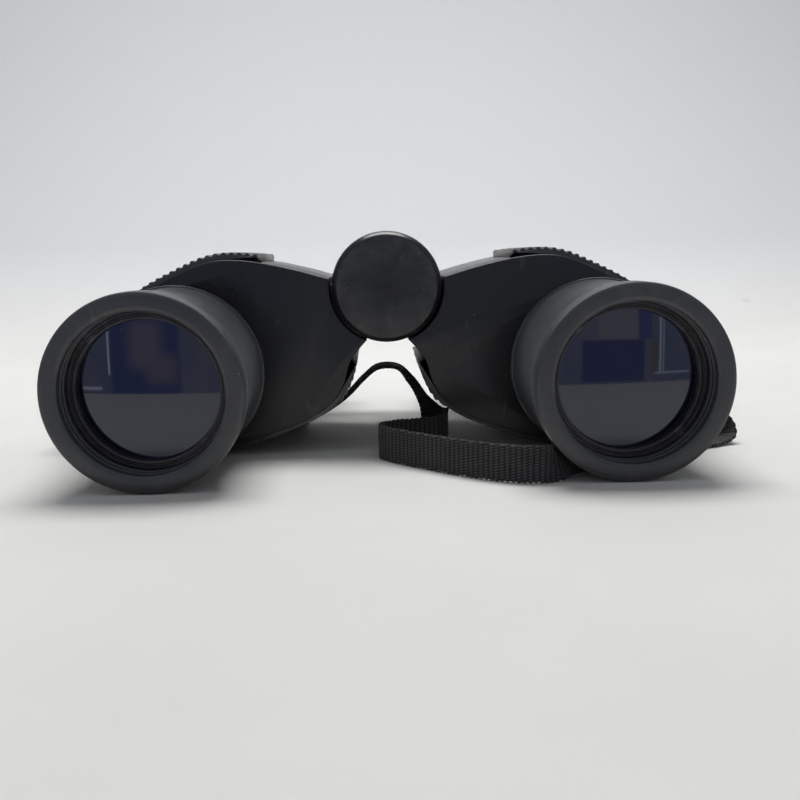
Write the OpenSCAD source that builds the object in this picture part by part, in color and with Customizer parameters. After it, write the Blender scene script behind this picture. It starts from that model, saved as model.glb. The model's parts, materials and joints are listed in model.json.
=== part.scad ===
// Porro-prism binoculars: two hinged prism housings, a central focusing bridge and a neck strap.
// X runs across the pair, +Y from the objectives to the eyepieces, +Z up. The origin is on the
// table, under the middle. The pair rests on its rims and on the undersides of both housings.
// The parts are drawn from the hinge axis, with y counted from the front plane of the rims.

/* [Layout] */
// Overall length, rims to eyecups
body_l = 140; // [139:0.5:142]
// Height of the hinge axis above the table
hub_z = 50.3; // [50.3:0.1:50.6]
// Distance from the hinge plane to an objective's axis
objective_x = 63; // [62.5:0.5:63.5]
// Distance from the hinge plane to an eyepiece's axis
eyepiece_x = 35; // [34.5:0.5:35.5]
// Depth of the eyepiece's axis below the hinge axis
eyepiece_drop = 14.4; // [14:0.1:14.8]

/* [Objectives] */
// Outer radius of the rubber rim
rim_r = 26; // [25.5:0.1:26]
// Radius of the rim's opening
mouth_r = 21; // [20.8:0.1:21.2]
// Outer radius of the objective tube
tube_r = 23; // [22.8:0.1:23]
// Radius of the objective lenses
lens_r = 20; // [19.8:0.1:20]
// Radius of the glass that the retaining ring leaves open
clear_r = 18.7; // [18.4:0.1:18.8]

/* [Housings] */
// Front face of the cover plates
face_y = 42; // [42:0.1:42.2]
// Thickness of the cover plates
plate_t = 1.5; // [1.2:0.1:1.5]
// Rear end of the prism housings
housing_end_y = 90; // [90:0.1:90.2]
// Thickness of the rubber armour
armour_t = 1.8; // [1.4:0.1:1.8]
// Height of the grip ribs above the grooves
rib_h = 0.7; // [0.5:0.1:0.8]
// Distance from one rib to the next
rib_pitch = 2.3; // [2.2:0.1:2.6]
// Width of the light path in a prism
prism_w = 21; // [20.6:0.1:21]

/* [Hinge and focus] */
// Radius of the hinge knuckles
knuckle_r = 16.2; // [16:0.1:16.3]
// Radius of the hinge shaft
shaft_r = 7; // [6.8:0.1:7]
// Radius of the focusing spindle
spindle_r = 4; // [3.8:0.1:4]
// Radius of the focusing wheel over its grip
wheel_r = 14.8; // [14:0.1:15]

/* [Eyepieces] */
// Outer radius of the eyepiece tubes
eye_tube_r = 13.5; // [13.3:0.1:13.5]
// Outer radius of the eyecups
eyecup_r = 17.2; // [17:0.1:17.5]

/* [Strap] */
// Width of the webbing
strap_w = 10; // [9.8:0.1:10]
// Thickness of the webbing
strap_t = 1.2; // [1:0.1:1.2]

/* [Hidden] */
$fn = 64;

RIGHT = 1;
LEFT = -1;
fit_gap = 0.05;        // radial play of pieces that turn or slide in each other
seat_gap = 0.1;        // play of pieces that are screwed or cemented in place
wall_t = 1.7;          // front wall of a housing
hub_gap = 0.8;         // play between a knuckle and the other half's arm
objective_z = 26 - hub_z;
table_z = -hub_z;
eye_z = -eyepiece_drop;
cover_t = 1.5;

// The prism pair steps the light from the objective's axis to the eyepiece's axis, by way of the
// corner of a right-angled triangle whose short sides are both one prism width long.
objective_axis = [objective_x, objective_z];
eye_axis = [eyepiece_x, eye_z];
half_step = (eye_axis - objective_axis) / 2;
corner_axis = objective_axis + half_step + [half_step[1] * -1, half_step[0]];
prism_half = prism_w / 2;
shelf_y = 66.7;
shelf_t = 1.3;
front_prism_y = shelf_y - seat_gap;
rear_prism_y = shelf_y + shelf_t + seat_gap;
prism_tip = 0.6;       // the prisms' sharp edges are ground off by this much

// Outline of a housing, from the lower end of its hinge arm round the outside to the upper end.
outline_stations = [
    [6.2, -15.8], [9, -18.9], [11.6, -22.8], [13.2, -28.4], [16.6, -34.2], [23.6, -39.1],
    [34.4, -43.4], [46, -47], [58, -48.5], [68, -47.8], [78, -43], [85.5, -34.5], [88.5, -24],
    [86.5, -14], [80.5, -6], [72, -0.3], [63, 4.1], [54, 7.7], [47, 8.7], [38, 7.9], [27, 5.5], [17.3, 2.7]
];
arm_arc_r = knuckle_r + hub_gap;
arm_arc_top = 5;
arm_arc_bottom = -64;
// Hollow of a housing, which clears both prisms
cavity_stations = [
    [24, -2], [33, 4.2], [44, 6.3], [52, 5.8], [60, 3], [70, -1.9], [78.5, -7.8], [84, -15.5], [86, -24],
    [83.5, -33], [77, -41], [68, -45.3], [57, -46.3], [46, -44.9], [35, -41.6], [26, -38], [20.5, -34],
    [18.6, -28], [18.6, -18], [20.4, -9]
];
boss_places = [[76.5, -6.6], [79, -38], [21.5, -33.2]];
boss_r = 3;
screw_r = 1;
screw_head_r = 2.1;

// Knuckles along the hinge, as [front, rear]
left_knuckles = [[44.1, 54.9], [82.2, 88]];
right_knuckles = [[55.1, 66], [76, 82]];

// Strap lug
lug_y = 60;
lug_z = objective_z;
lug_half_l = 7.2;
lug_half_t = 2;
lug_end_x = 98.2;
slot_x = [92.6, 95.6];
slot_half_l = 5.8;
slider_x = 96.8;

// Points and smooth curves
function flip_list(p) = [for (i = [len(p) - 1 : -1 : 0]) p[i]];
function catmull(a, b, c, d, t) =
    0.5 * (2 * b + (c - a) * t + (2 * a - 5 * b + 4 * c - d) * t * t + (3 * b - a - 3 * c + d) * t * t * t);
function open_curve(p, n) = let (last = len(p) - 1)
    concat([for (i = [0 : last - 1], k = [0 : n - 1])
        catmull(p[max(i - 1, 0)], p[i], p[i + 1], p[min(i + 2, last)], k / n)], [p[last]]);
function closed_curve(p, n) = let (m = len(p))
    [for (i = [0 : m - 1], k = [0 : n - 1])
        catmull(p[(i + m - 1) % m], p[i], p[(i + 1) % m], p[(i + 2) % m], k / n)];
function arc(r, from, to, n) =
    [for (k = [0 : n]) let (a = from + (to - from) * k / n) r * [cos(a), sin(a)]];
function unit(v) = v / norm(v);
function side_of(p, i) = let (t = unit(p[min(i + 1, len(p) - 1)] - p[max(i - 1, 0)])) [t[1], -t[0]];
function running_length(p, i = 0, sums = [0]) =
    i >= len(p) - 1 ? sums : running_length(p, i + 1, concat(sums, sums[i] + norm(p[i + 1] - p[i])));
function point_at(p, sums, s, i = 0) =
    (i >= len(p) - 2 || s <= sums[i + 1])
        ? p[i] + (p[i + 1] - p[i]) * (s - sums[i]) / (sums[i + 1] - sums[i])
        : point_at(p, sums, s, i + 1);
function even_steps(p, step) =
    let (sums = running_length(p), whole = sums[len(sums) - 1], n = round(whole / step))
    [for (k = [0 : n]) point_at(p, sums, whole * k / n)];

// Placing: a half is drawn as the right one and mirrored for the left
module half(side) {
    translate([0, -body_l / 2, hub_z]) mirror([side < 0 ? 1 : 0, 0, 0]) children();
}
module rod(r, from, to, place = [0, 0]) {
    translate([place[0], from, place[1]]) rotate([-90, 0, 0]) cylinder(r = r, h = to - from);
}
module slab(from, to) {
    translate([0, to, 0]) rotate([90, 0, 0]) linear_extrude(to - from) children();
}
module turned(profile, place = [0, 0]) {
    translate([place[0], 0, place[1]]) rotate([-90, 0, 0]) rotate_extrude() polygon(profile);
}

// Objectives
sleeve_profile = [
    [mouth_r, 1], [mouth_r + 0.7, 0.2], [mouth_r + 1.6, 0], [rim_r - 1.4, 0], [rim_r - 0.4, 0.4],
    [rim_r, 1.4], [rim_r, 7.2], [rim_r - 0.5, 9], [rim_r - 1.4, 12], [rim_r - 1.6, 16], [rim_r - 1.6, 26],
    [rim_r - 1.2, 33], [rim_r - 0.6, 37.5], [rim_r - 0.2, 40.4], [rim_r, face_y - 0.1],
    [tube_r + seat_gap, face_y - 0.1], [tube_r + seat_gap, 6.7], [mouth_r, 6.7]
];
module objective_sleeve(side) {
    color("dimgray") half(side) turned(sleeve_profile, objective_axis);
}

tube_wall = 1.4;
tube_y = [6.8, 45.3];
module objective_tube(side) {
    color("black") half(side) difference() {
        rod(tube_r, tube_y[0], tube_y[1], objective_axis);
        rod(tube_r - tube_wall, tube_y[0] - 1, tube_y[1] + 1, objective_axis);
    }
}

cell_front_y = 7;
cell_r = tube_r - tube_wall - seat_gap;
seat_r = lens_r + fit_gap;
cell_profile = [
    [seat_r, cell_front_y], [cell_r, cell_front_y], [cell_r, 19.2], [clear_r + 0.2, 19.2],
    [clear_r + 0.2, 17.2], [seat_r, 17.2]
];
module lens_cell(side) {
    color("black") half(side) turned(cell_profile, objective_axis);
}

ring_y = [7.2, 8.6];
module retaining_ring(side) {
    color("black") half(side) difference() {
        rod(lens_r, ring_y[0], ring_y[1], objective_axis);
        rod(clear_r, ring_y[0] - 1, ring_y[1] + 1, objective_axis);
        for (s = [-1, 1]) translate([objective_x + s * lens_r, ring_y[0], objective_z])
            cube([5, 1.2, 1.6], center = true);
    }
}

// A lens is turned from two arcs: sag is how far a face of radius R falls at r from the axis.
function sag(big_r, r) = abs(big_r) - sqrt(big_r * big_r - r * r);
function lens_face(vertex, big_r, r, n) = [for (k = [0 : n])
    [r * k / n, vertex + sign(big_r) * sag(big_r, r * k / n)]];
module lens(r, front, front_r, back, back_r, place) {
    turned(concat(lens_face(front, front_r, r, 8), flip_list(lens_face(back, back_r, r, 8))), place);
}
crown_y = [8, 14.6];
crown_curve = 240;
cement_curve = -80;
flint_back_y = 17;
flint_back_curve = -300;
module crown_lens(side) {
    color("lightsteelblue") half(side)
        lens(lens_r, crown_y[0], crown_curve, crown_y[1], cement_curve, objective_axis);
}
module flint_lens(side) {
    color("lightsteelblue") half(side)
        lens(lens_r, crown_y[1] + fit_gap, cement_curve, flint_back_y, flint_back_curve, objective_axis);
}

// Housings
body_edge = open_curve(outline_stations, 4);
body_outline = concat(body_edge, arc(arm_arc_r, arm_arc_top, arm_arc_bottom, 12));
cavity_outline = closed_curve(cavity_stations, 3);

module hinge_arm(from, to) {
    rod(knuckle_r, from, to);
    slab(from, to) polygon(concat([[0, 0]], arc(arm_arc_r + 1.6, arm_arc_bottom + 4, arm_arc_top - 2, 6)));
}
module prism_housing(side) {
    color("#2b2b2d") half(side) difference() {
        union() {
            slab(face_y + plate_t + fit_gap, housing_end_y) polygon(body_outline);
            for (k = side > 0 ? right_knuckles : left_knuckles) hinge_arm(k[0], k[1]);
        }
        difference() {
            slab(face_y + plate_t + wall_t, housing_end_y + 1) polygon(cavity_outline);
            for (b = boss_places) rod(boss_r, 47, housing_end_y + 2, b);
        }
        rod(tube_r + fit_gap, face_y, tube_y[1] + 0.2, objective_axis);
        rod(shaft_r + fit_gap, face_y, housing_end_y);
        for (b = boss_places) rod(screw_r, housing_end_y - 9, housing_end_y + 1, b);
    }
}

module front_plate(side) {
    color("#2a2a2c") half(side) difference() {
        slab(face_y, face_y + plate_t) polygon(body_outline);
        rod(tube_r + fit_gap, face_y - 1, face_y + plate_t + 1, objective_axis);
    }
}

// The armour wraps the housing from the inner underside, round the outside, to the shoulder, where
// its ribs begin. It is pressed flat where it touches the table.
armour_stations = [for (i = [2 : len(outline_stations) - 1]) outline_stations[i]];
armour_path = even_steps(open_curve(armour_stations, 6), rib_pitch / 4);
armour_end_x = 38.2;
crest_x = 56;
armour_in = [for (i = [0 : len(armour_path) - 1]) let (p = armour_path[i])
    if (p[0] > armour_end_x || p[1] < -12) p + side_of(armour_path, i) * fit_gap];
function armour_height(p, i) =
    let (shoulder = p[1] > -8, under = p[0] < 17, fall = max(p[0] - crest_x, 0) * 0.026)
    p[1] < -36 && !under ? armour_t - 0.5
        : shoulder || under ? armour_t + 0.4 - fall - (i % 4 < 2 ? 0 : rib_h)
        : armour_t;
armour_out = [for (i = [0 : len(armour_in) - 1])
    let (p = armour_in[i] + side_of(armour_in, i) * armour_height(armour_in[i], i))
    [p[0], max(p[1], table_z)]];
armour_section = concat(armour_out, flip_list(armour_in));
// Ahead of the ribs the armour starts as a plain, thinner band.
band_h = 1.2;
band_l = 3;
function armour_offset(h) = [for (i = [0 : len(armour_in) - 1]) armour_in[i] + side_of(armour_in, i) * h];
band_cut = concat(armour_offset(band_h), flip_list(armour_offset(band_h + 2)));
module body_armour(side) {
    color("dimgray") half(side) difference() {
        slab(face_y + plate_t + seat_gap, housing_end_y - 0.6) polygon(armour_section);
        slab(face_y, face_y + plate_t + seat_gap + band_l) polygon(band_cut);
        lug_block(0.3);
    }
}

module prism_shelf(side) {
    color("silver") half(side) difference() {
        slab(shelf_y, shelf_y + shelf_t)
            polygon([for (i = [0 : len(cavity_outline) - 1]) cavity_outline[i] * 0.99 + [0.5, -0.2]]);
        for (a = [objective_axis, corner_axis, eye_axis]) rod(prism_half - 1, shelf_y - 1, shelf_y + 3, a);
        for (b = boss_places) rod(boss_r + 0.2, shelf_y - 1, shelf_y + 3, b);
    }
}

// A Porro prism: a bar with round ends on its long face, roofed at 45 degrees. It is drawn along +X
// with its long face at y = 0 and its roof towards +Y.
module prism_block(gap = 0) {
    intersection() {
        slab(0, prism_w) union() {
            for (s = [-1, 1]) translate([s * prism_half, 0]) circle(r = prism_half);
            square([prism_w, prism_w], center = true);
        }
        translate([0, 0, -prism_w]) linear_extrude(2 * prism_w) polygon([
            [-prism_w, 0], [prism_w, 0], [prism_tip, prism_w - prism_tip], [-prism_tip, prism_w - prism_tip]
        ]);
    }
}
// A spring strap over the roof
module prism_strap() {
    lift = 0.1;
    strap_half = 3;
    sheet = 0.5;
    outer = prism_w + lift + sheet * 1.5;
    inner = prism_w + lift;
    top = prism_w - prism_tip + lift;
    translate([0, 0, -strap_half]) linear_extrude(2 * strap_half) polygon([
        [-outer, 0.1], [-prism_tip - sheet, top + sheet], [prism_tip + sheet, top + sheet], [outer, 0.1],
        [inner + 0.1, 0.1], [prism_tip + lift, top], [-prism_tip - lift, top], [-inner - 0.1, 0.1]
    ]);
}
// Lays a prism or its clip between two light axes, roof to the rear (dir 1) or to the front (dir -1)
module between_axes(a, b, y, dir) {
    middle = (a + b) / 2;
    turn = atan2(b[1] - a[1], b[0] - a[0]);
    translate([middle[0], y, middle[1]]) rotate([0, -turn, 0]) mirror([0, dir < 0 ? 1 : 0, 0]) children();
}
module front_prism(side) {
    color("lightblue") half(side) between_axes(corner_axis, eye_axis, front_prism_y, -1) prism_block();
}
module rear_prism(side) {
    color("lightblue") half(side) between_axes(objective_axis, corner_axis, rear_prism_y, 1) prism_block();
}
module prism_clips(side) {
    color("silver") half(side) {
        between_axes(corner_axis, eye_axis, front_prism_y, -1) prism_strap();
        between_axes(objective_axis, corner_axis, rear_prism_y, 1) prism_strap();
    }
}

collar_r = 16.4;
collar_end_y = 99;
module rear_cover(side) {
    color("#2b2b2d") half(side) difference() {
        union() {
            slab(housing_end_y, housing_end_y + cover_t) polygon(body_outline);
            rod(collar_r, housing_end_y, collar_end_y, eye_axis);
        }
        rod(eye_tube_r + fit_gap, housing_end_y - 1, collar_end_y + 1, eye_axis);
        for (b = boss_places) rod(screw_r + fit_gap, housing_end_y - 1, housing_end_y + cover_t + 1, b);
    }
}
module cover_screws(side) {
    color("silver") half(side) for (b = boss_places) {
        rod(screw_r, housing_end_y - 8, housing_end_y + cover_t, b);
        rod(screw_head_r, housing_end_y + cover_t, housing_end_y + cover_t + 1.2, b);
    }
}

module lug_block(grow = 0) {
    translate([80, lug_y - lug_half_l - grow, lug_z - lug_half_t - grow])
        cube([lug_end_x - 80, 2 * (lug_half_l + grow), 2 * (lug_half_t + grow)]);
}
lug_seat = [for (i = [0 : len(body_edge) - 1]) body_edge[i] + side_of(body_edge, i) * fit_gap];
module strap_lug(side) {
    color("black") half(side) difference() {
        lug_block();
        slab(face_y, housing_end_y) polygon(lug_seat);
        translate([slot_x[0], lug_y - slot_half_l, lug_z - 5])
            cube([slot_x[1] - slot_x[0], 2 * slot_half_l, 10]);
    }
}

// Eyepieces
barrel_r = eye_tube_r - 1.4;
eye_tube_y = [91.4, 123.4];
module eyepiece_tube(side) {
    color("#1f1f21") half(side) difference() {
        rod(eye_tube_r, eye_tube_y[0], eye_tube_y[1], eye_axis);
        rod(barrel_r, eye_tube_y[0] - 1, eye_tube_y[1] + 1, eye_axis);
    }
}
head_r = 15.2;
barrel_profile = [
    [8.5, 96], [barrel_r - fit_gap, 96], [barrel_r - fit_gap, 124.8], [head_r, 124.8], [head_r, 131],
    [10.6, 131], [10.6, 98], [8.5, 98]
];
module ocular_barrel(side) {
    color("#1f1f21") half(side) turned(barrel_profile, eye_axis);
}
module field_lens(side) {
    color("lightsteelblue") half(side) lens(10.5, 103, 40, 110, -28, eye_axis);
}
module eye_lens(side) {
    color("lightsteelblue") half(side) lens(10.5, 121, 26, 129, -60, eye_axis);
}
module ocular_ring(side) {
    color("black") half(side) difference() {
        rod(10.5, 129.4, 130.9, eye_axis);
        rod(9.2, 129, 131.5, eye_axis);
    }
}
eyecup_profile = [
    [head_r + fit_gap, 125.4], [eyecup_r, 125.4], [eyecup_r, 127.6], [eyecup_r - 0.9, 129.6],
    [eyecup_r - 1.2, 134], [eyecup_r - 0.7, 138], [eyecup_r - 0.8, 139.4], [eyecup_r - 1.8, body_l],
    [13.4, body_l], [12.6, body_l - 1], [12.2, 136], [12, 132.4], [11.2, 131.1], [head_r + fit_gap, 131.1]
];
module eyecup(side) {
    color("#262626") half(side) turned(eyecup_profile, eye_axis);
}

// Hinge and focusing bridge
cap_y = 38.5;
cap_profile = [
    [0, cap_y], [knuckle_r - 1.1, cap_y], [knuckle_r - 0.3, cap_y + 0.4], [knuckle_r + 0.1, cap_y + 1.2],
    [knuckle_r + 0.1, 43.9], [spindle_r + 0.2, 43.9], [spindle_r + 0.2, 48], [0, 48]
];
module hub_cap() {
    color("#2a2a2c") half(RIGHT) turned(cap_profile);
}
module hinge_shaft() {
    color("silver") half(RIGHT) difference() {
        rod(shaft_r, 44, 91.5);
        rod(spindle_r + 0.3, 43, 92);
    }
}
module hinge_nut() {
    color("silver") half(RIGHT) difference() {
        rod(11, 88.4, 91.3);
        rod(shaft_r + 0.02, 88, 92);
        for (s = [-1, 1]) translate([s * 10.4, 90.8, 0]) cube([1.8, 1.6, 2], center = true);
    }
}
grip_r = wheel_r - 1.8;
wheel_y = [92, 102.5];
module focus_wheel() {
    color("#2b2b2d") half(RIGHT) difference() {
        union() {
            rod(grip_r, wheel_y[0] + 0.8, wheel_y[1] - 0.8);
            rod(grip_r - 1.6, wheel_y[0], wheel_y[1]);
        }
        rod(spindle_r + fit_gap, wheel_y[0] - 1, wheel_y[1] + 1);
    }
}
grip_ribs = 30;
module focus_grip() {
    color("dimgray") half(RIGHT) difference() {
        rod(wheel_r, wheel_y[0] + 1, wheel_y[1] - 1);
        rod(grip_r + 0.02, wheel_y[0], wheel_y[1]);
        for (k = [1 : grip_ribs]) rotate([0, k * 360 / grip_ribs, 0])
            rod(0.75, wheel_y[0], wheel_y[1], [wheel_r + 0.1, 0]);
    }
}
module focus_spindle() {
    color("silver") half(RIGHT) rod(spindle_r, 60, 117);
}

arm_hub_r = 9;
arm_t = 4;
module bridge_arm(y, hub_bore) {
    difference() {
        union() {
            rod(arm_hub_r, y, y + arm_t);
            rod(eye_tube_r + 3, y, y + arm_t, eye_axis);
            rotate([0, atan2(eyepiece_drop, eyepiece_x), 0]) slab(y, y + arm_t)
                polygon([[0, 6.5], [0, -6.5], [norm(eye_axis), -9], [norm(eye_axis), 9]]);
        }
        rod(hub_bore, y - 1, y + arm_t + 1);
        rod(eye_tube_r + 0.02, y - 1, y + arm_t + 1, eye_axis);
    }
}
right_arm_y = 107.5;
left_arm_y = right_arm_y + arm_t + 0.2;
module right_bridge_arm() {
    color("#2b2b2d") half(RIGHT) bridge_arm(right_arm_y, spindle_r + 0.02);
}
module left_bridge_arm() {
    color("#2b2b2d") half(LEFT) bridge_arm(left_arm_y, spindle_r + fit_gap);
}
bridge_cap_y = left_arm_y + arm_t + 0.2;
module bridge_cap() {
    color("#2a2a2c") half(RIGHT) difference() {
        turned([[0, bridge_cap_y], [arm_hub_r, bridge_cap_y], [arm_hub_r, bridge_cap_y + 1.8],
            [arm_hub_r - 1.2, bridge_cap_y + 3], [0, bridge_cap_y + 3.4]]);
        rod(spindle_r + 0.02, bridge_cap_y - 1, 117.02);
    }
}
diopter_ribs = 36;
diopter_r = 16.5;
module diopter_ring() {
    color("#262626") half(RIGHT) difference() {
        rod(diopter_r, 116.4, 123.2, eye_axis);
        rod(eye_tube_r + fit_gap, 116, 124, eye_axis);
        for (k = [1 : diopter_ribs])
            translate([eyepiece_x, 0, eye_z]) rotate([0, k * 360 / diopter_ribs, 0])
                rod(0.6, 117.2, 122.4, [diopter_r + 0.15, 0]);
    }
}

// Neck strap. Each row of a route is a point of the webbing's middle, in millimetres, with y from
// the rims' front plane and z from the table, and then the direction of its width.
flat_y = [0, 1, 0];
upright = [0, 0, 1];
// From the right lug's slider, under the right barrel, round the loop in front, over the arch
// between the housings and back to the hank
front_route = [
    [98.2, 60, 10.6, flat_y], [98.2, 60, 13, flat_y], [98.3, 60, 16.5, flat_y], [99, 60, 21, flat_y],
    [99.4, 60, 26, flat_y], [98.6, 60, 28.8, flat_y], [96.8, 60, 29.6, flat_y],
    [94.8, 60, 28.5, flat_y], [94, 60, 25, flat_y], [94.3, 60, 20, flat_y], [95.3, 60, 15.5, flat_y],
    [95.5, 60, 12.8, flat_y], [95.9, 59.8, 10.6, flat_y], [97.4, 58.8, 8.6, [0.15, 0.98, 0]],
    [100.4, 56.6, 8, [0.3, 0.95, 0]], [103.8, 52.8, 7.6, [0.3, 0.95, 0]],
    [106, 48.5, 5.4, [0.2, 0.98, 0]], [104.5, 45.4, 2.2, [-0.2, 0.98, 0]],
    [100, 42.8, 0.9, [-0.4, 0.9, 0]], [92, 38.8, 0.8, [-0.45, 0.9, 0]],
    [82, 33.8, 0.8, [-0.5, 0.87, 0]], [72, 28.4, 0.8, [-0.53, 0.85, 0]],
    [63, 22.8, 0.85, [-0.57, 0.82, 0]], [56.4, 18.4, 1.5, [-0.66, 0.7, 0.1]],
    [50.8, 14, 3.1, [-0.72, 0.42, 0.46]], [46.2, 9.4, 4.3, [-0.75, 0.1, 0.64]],
    [43.2, 4.4, 4.9, [-0.5, -0.15, 0.85]], [38.6, 1.6, 5.2, upright], [32, 2.8, 5.2, upright],
    [24.5, 7, 5.2, upright], [17, 12.8, 5.2, upright], [10.5, 18.6, 5.2, upright],
    [4.5, 24.2, 5.2, upright], [0, 29, 5.2, upright], [-2.8, 34, 5.2, upright],
    [-1.4, 38.6, 5.2, upright], [3.6, 41.6, 5.2, upright], [9.6, 43, 5.2, upright],
    [14.6, 44.8, 5.2, upright], [17.6, 48.2, 5.2, upright], [18.2, 52.6, 5.4, [0, 0.1, 0.98]],
    [17, 57, 6.4, [0.1, 0.4, 0.88]], [14.6, 61, 9, [0.15, 0.85, 0.45]],
    [11.4, 64, 13.4, [0.1, 0.96, 0.2]], [7.6, 66, 19, [0.1, 0.98, 0.1]], [3.4, 67, 23.1, flat_y],
    [-3, 67.4, 23.2, flat_y], [-8, 68, 19.4, flat_y], [-12.6, 68.8, 14.6, flat_y],
    [-17.4, 70, 10.8, flat_y], [-22.4, 72.4, 7.7, [0, 1, 0.05]], [-27.2, 76, 5.4, [0.2, 0.95, 0.1]],
    [-30.8, 81, 3.3, [0.45, 0.85, 0]], [-32.8, 87.4, 1.7, [0.8, 0.5, 0]],
    [-33.6, 95, 0.9, [0.98, 0.1, 0]], [-33.4, 106, 0.8, [1, 0, 0]], [-32.6, 118, 0.8, [1, 0, 0]],
    [-31.6, 127, 1.3, [0.98, 0, 0.12]], [-30.6, 134.6, 3.2, [0.85, 0, 0.5]],
    [-29.6, 141, 4.6, [0.4, 0, 0.9]], [-29.8, 146, 5.2, upright], [-32, 148.8, 5.2, upright],
    [-36, 149.6, 5.2, upright]
];
// From the hank along the left side to the left lug's slider
side_route = [
    [-96, 176.4, 5.2, upright], [-103, 176.2, 5.2, upright], [-108, 172.6, 5.2, upright],
    [-110.2, 165, 5.2, upright], [-109.8, 154, 5.2, upright], [-108.4, 141, 5.2, upright],
    [-107.2, 127, 5.2, upright], [-106.4, 114, 5.2, upright], [-106, 100, 5.2, upright],
    [-105.6, 86, 5.2, upright], [-104, 75.6, 5.4, [0.1, 0.2, 0.97]],
    [-101.2, 67.6, 6.2, [0.2, 0.6, 0.76]], [-98.4, 62, 7.8, [0.15, 0.96, 0.2]],
    [-95.9, 59.8, 10.6, flat_y], [-95.5, 60, 12.8, flat_y], [-95.3, 60, 15.5, flat_y],
    [-94.3, 60, 20, flat_y], [-94, 60, 25, flat_y], [-94.8, 60, 28.5, flat_y],
    [-96.8, 60, 29.6, flat_y], [-98.6, 60, 28.8, flat_y], [-99.4, 60, 26, flat_y],
    [-99, 60, 21, flat_y], [-98.3, 60, 16.5, flat_y], [-98.2, 60, 13, flat_y],
    [-98.2, 60, 10.6, flat_y]
];
strap_corner = [[strap_w / 2, 0.2], [strap_w / 2 - 0.4, strap_t / 2]];
strap_edge = [for (s = [[1, 1], [-1, 1], [-1, -1], [1, -1]], k = [0, 1])
    let (c = strap_corner[s[0] * s[1] > 0 ? k : 1 - k]) [c[0] * s[0], c[1] * s[1]]];
function strap_ring(route, i) = let (
        here = [route[i][0], route[i][1], route[i][2]],
        before = route[max(i - 1, 0)],
        after = route[min(i + 1, len(route) - 1)],
        along = unit([after[0] - before[0], after[1] - before[1], after[2] - before[2]]),
        lean = route[i][3],
        width = unit(lean - along * (lean * along)),
        face = cross(along, width)
    ) [for (e = strap_edge) here + width * e[0] + face * e[1]];
module webbing(route) {
    rings = len(route);
    sides = len(strap_edge);
    polyhedron(
        points = [for (i = [0 : rings - 1], p = strap_ring(route, i)) p],
        faces = concat(
            [[for (k = [0 : sides - 1]) k]],
            [for (i = [0 : rings - 2], k = [0 : sides - 1])
                let (a = i * sides + k, b = i * sides + (k + 1) % sides)
                each [[a, a + sides, b], [b, a + sides, b + sides]]],
            [[for (k = [sides - 1 : -1 : 0]) (rings - 1) * sides + k]]
        )
    );
}
module neck_strap() {
    color("#161618") translate([0, -body_l / 2, 0]) {
        webbing(front_route);
        webbing(side_route);
    }
}

// The rest of the webbing is folded to and fro on edge, behind the left eyepiece
hank_x = [-105.6, -28.4];
hank_y = [147.9, 178.1];
hank_corner = 2.2;
hank_top = 10.2;
module hank_shape() {
    for (x = [hank_x[0] + hank_corner, hank_x[1] - hank_corner])
        for (y = [hank_y[0] + hank_corner, hank_y[1] - hank_corner])
            translate([x, y]) circle(r = hank_corner);
    translate([hank_x[0] + hank_corner, hank_y[0]])
        square([hank_x[1] - hank_x[0] - 2 * hank_corner, hank_y[1] - hank_y[0]]);
    translate([hank_x[0], hank_y[0] + hank_corner])
        square([hank_x[1] - hank_x[0], hank_y[1] - hank_y[0] - 2 * hank_corner]);
}
module strap_hank() {
    color("#161618") translate([0, -body_l / 2, 0.2]) linear_extrude(hank_top - 0.2) hank_shape();
}
tie_x = -67;
tie_half = 4;
module hank_tie() {
    color("#222222") translate([tie_x, -body_l / 2, 0]) difference() {
        translate([-tie_half, hank_y[0] - 1, 0])
            cube([2 * tie_half, hank_y[1] - hank_y[0] + 2, hank_top + 1]);
        translate([-tie_half - 1, hank_y[0] - 0.05, 0.15])
            cube([2 * tie_half + 2, hank_y[1] - hank_y[0] + 0.1, hank_top - 0.1]);
    }
}

module strap_slider(side) {
    color("#141414") half(side) translate([slider_x, lug_y, 13.4 - hub_z]) difference() {
        cube([5.6, 14, 5], center = true);
        cube([4.6, 11, 6], center = true);
    }
}

objective_sleeve(RIGHT);  // right_objective_sleeve
objective_sleeve(LEFT);  // left_objective_sleeve
objective_tube(RIGHT);  // right_objective_tube
objective_tube(LEFT);  // left_objective_tube
lens_cell(RIGHT);  // right_lens_cell
lens_cell(LEFT);  // left_lens_cell
retaining_ring(RIGHT);  // right_retaining_ring
retaining_ring(LEFT);  // left_retaining_ring
crown_lens(RIGHT);  // right_crown_lens
crown_lens(LEFT);  // left_crown_lens
flint_lens(RIGHT);  // right_flint_lens
flint_lens(LEFT);  // left_flint_lens
prism_housing(RIGHT);  // right_prism_housing
prism_housing(LEFT);  // left_prism_housing
front_plate(RIGHT);  // right_front_plate
front_plate(LEFT);  // left_front_plate
body_armour(RIGHT);  // right_body_armour
body_armour(LEFT);  // left_body_armour
prism_shelf(RIGHT);  // right_prism_shelf
prism_shelf(LEFT);  // left_prism_shelf
front_prism(RIGHT);  // right_front_prism
front_prism(LEFT);  // left_front_prism
rear_prism(RIGHT);  // right_rear_prism
rear_prism(LEFT);  // left_rear_prism
prism_clips(RIGHT);  // right_prism_clips
prism_clips(LEFT);  // left_prism_clips
rear_cover(RIGHT);  // right_rear_cover
rear_cover(LEFT);  // left_rear_cover
cover_screws(RIGHT);  // right_cover_screws
cover_screws(LEFT);  // left_cover_screws
strap_lug(RIGHT);  // right_strap_lug
strap_lug(LEFT);  // left_strap_lug
eyepiece_tube(RIGHT);  // right_eyepiece_tube
eyepiece_tube(LEFT);  // left_eyepiece_tube
ocular_barrel(RIGHT);  // right_ocular_barrel
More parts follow.
